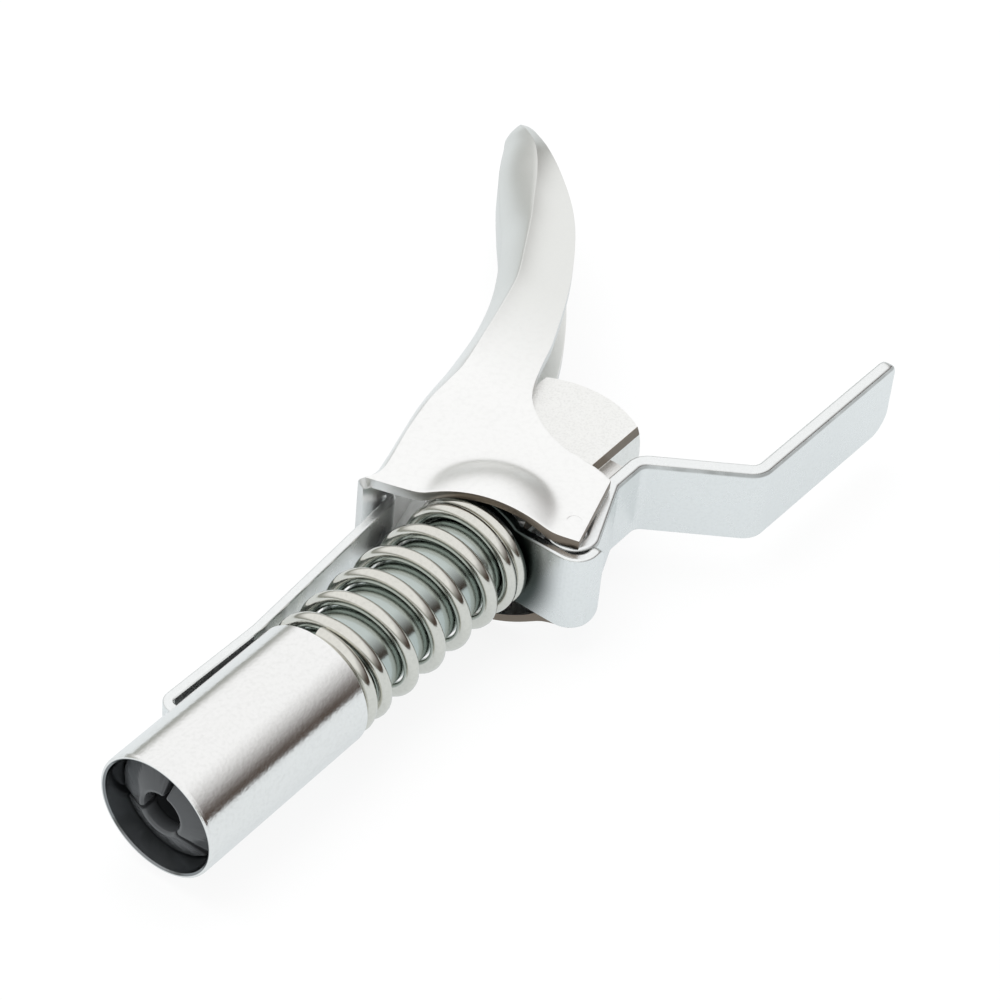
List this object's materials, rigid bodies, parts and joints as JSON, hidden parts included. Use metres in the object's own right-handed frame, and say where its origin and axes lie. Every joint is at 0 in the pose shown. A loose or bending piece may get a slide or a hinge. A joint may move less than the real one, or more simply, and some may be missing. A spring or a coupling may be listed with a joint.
{
  "type": "grease coupler",
  "caption": "Quick-release grease coupler with a spring-loaded sleeve over jaws, a stamped squeeze lever and a bent fixed handle.",
  "frame": {"origin": "middle of the lips of the jaws, on the bore axis", "axes": "+X back along the bore to the inlet, +Y to the lever side, +Z square to the lever's flat plates"},
  "size_m": [0.1381, 0.0745, 0.0214],
  "materials": {
    "plated_steel": "satin zinc plate",
    "plated_sheet": "bright zinc plate",
    "bright_sleeve": "turned and bright plated",
    "spring_steel": "polished plated wire",
    "black_steel": "black oxide",
    "ball_steel": "ground ball",
    "seal_rubber": "moulded",
    "brass": "turned"
  },
  "bodies": {
    "frame": {"body": "plated_steel", "hook_bracket": "plated_sheet", "fixed_handle": "plated_sheet", "stop_ring": "black_steel", "jaw_ring": "seal_rubber", "bore_plug": "plated_steel", "check_seat": "brass", "return_spring": "spring_steel", "piston_spring": "spring_steel", "check_spring": "spring_steel"},
    "lever": {"lever": "plated_sheet", "hinge_pin": "plated_sheet"},
    "sleeve": {"sleeve": "bright_sleeve", "link": "plated_sheet"},
    "jaw_1": {"jaw_1": "black_steel"},
    "jaw_2": {"jaw_2": "black_steel"},
    "jaw_3": {"jaw_3": "black_steel"},
    "piston": {"piston": "plated_steel", "nipple_seal": "seal_rubber", "piston_o_ring": "seal_rubber"},
    "check_ball": {"check_ball": "ball_steel"}
  },
  "joints": [
    {"name": "lever_hinge", "type": "hinge", "parent": "frame", "child": "lever", "pos_m": [0.0672, -0.0112, 0], "axis": [0, 0, -1], "range_deg": [0, 16], "stiffness_Nm_per_rad": 1.25, "springref_deg": -18.33},
    {"name": "sleeve_slide", "type": "slide", "parent": "frame", "child": "sleeve", "axis": [1, 0, 0], "range_m": [0, 0.007], "deforming": ["return_spring"]},
    {"name": "jaw_1_swing", "type": "hinge", "parent": "frame", "child": "jaw_1", "pos_m": [0.0182, -0.00485, 0.00186], "axis": [0, 0.3584, 0.9336], "range_deg": [0, 2.65]},
    {"name": "jaw_2_swing", "type": "hinge", "parent": "frame", "child": "jaw_2", "pos_m": [0.0182, 0.00081, -0.00514], "axis": [0, -0.9877, -0.1564], "range_deg": [0, 2.65]},
    {"name": "jaw_3_swing", "type": "hinge", "parent": "frame", "child": "jaw_3", "pos_m": [0.0182, 0.00404, 0.00327], "axis": [0, 0.6293, -0.7771], "range_deg": [0, 2.65]},
    {"name": "piston_slide", "type": "slide", "parent": "frame", "child": "piston", "axis": [1, 0, 0], "range_m": [0, 0.0015], "stiffness_N_per_m": 1500, "springref_m": -0.003, "deforming": ["piston_spring"]},
    {"name": "check_slide", "type": "slide", "parent": "frame", "child": "check_ball", "axis": [-1, 0, 0], "range_m": [0, 0.0012], "stiffness_N_per_m": 150, "springref_m": -0.003, "deforming": ["check_spring"]}
  ],
  "couplings": [
    {"joint": "sleeve_slide", "follows": "lever_hinge", "m_per_rad": 0.025},
    {"joint": "jaw_1_swing", "follows": "lever_hinge", "ratio": 0.165},
    {"joint": "jaw_2_swing", "follows": "lever_hinge", "ratio": 0.165},
    {"joint": "jaw_3_swing", "follows": "lever_hinge", "ratio": 0.165}
  ]
}
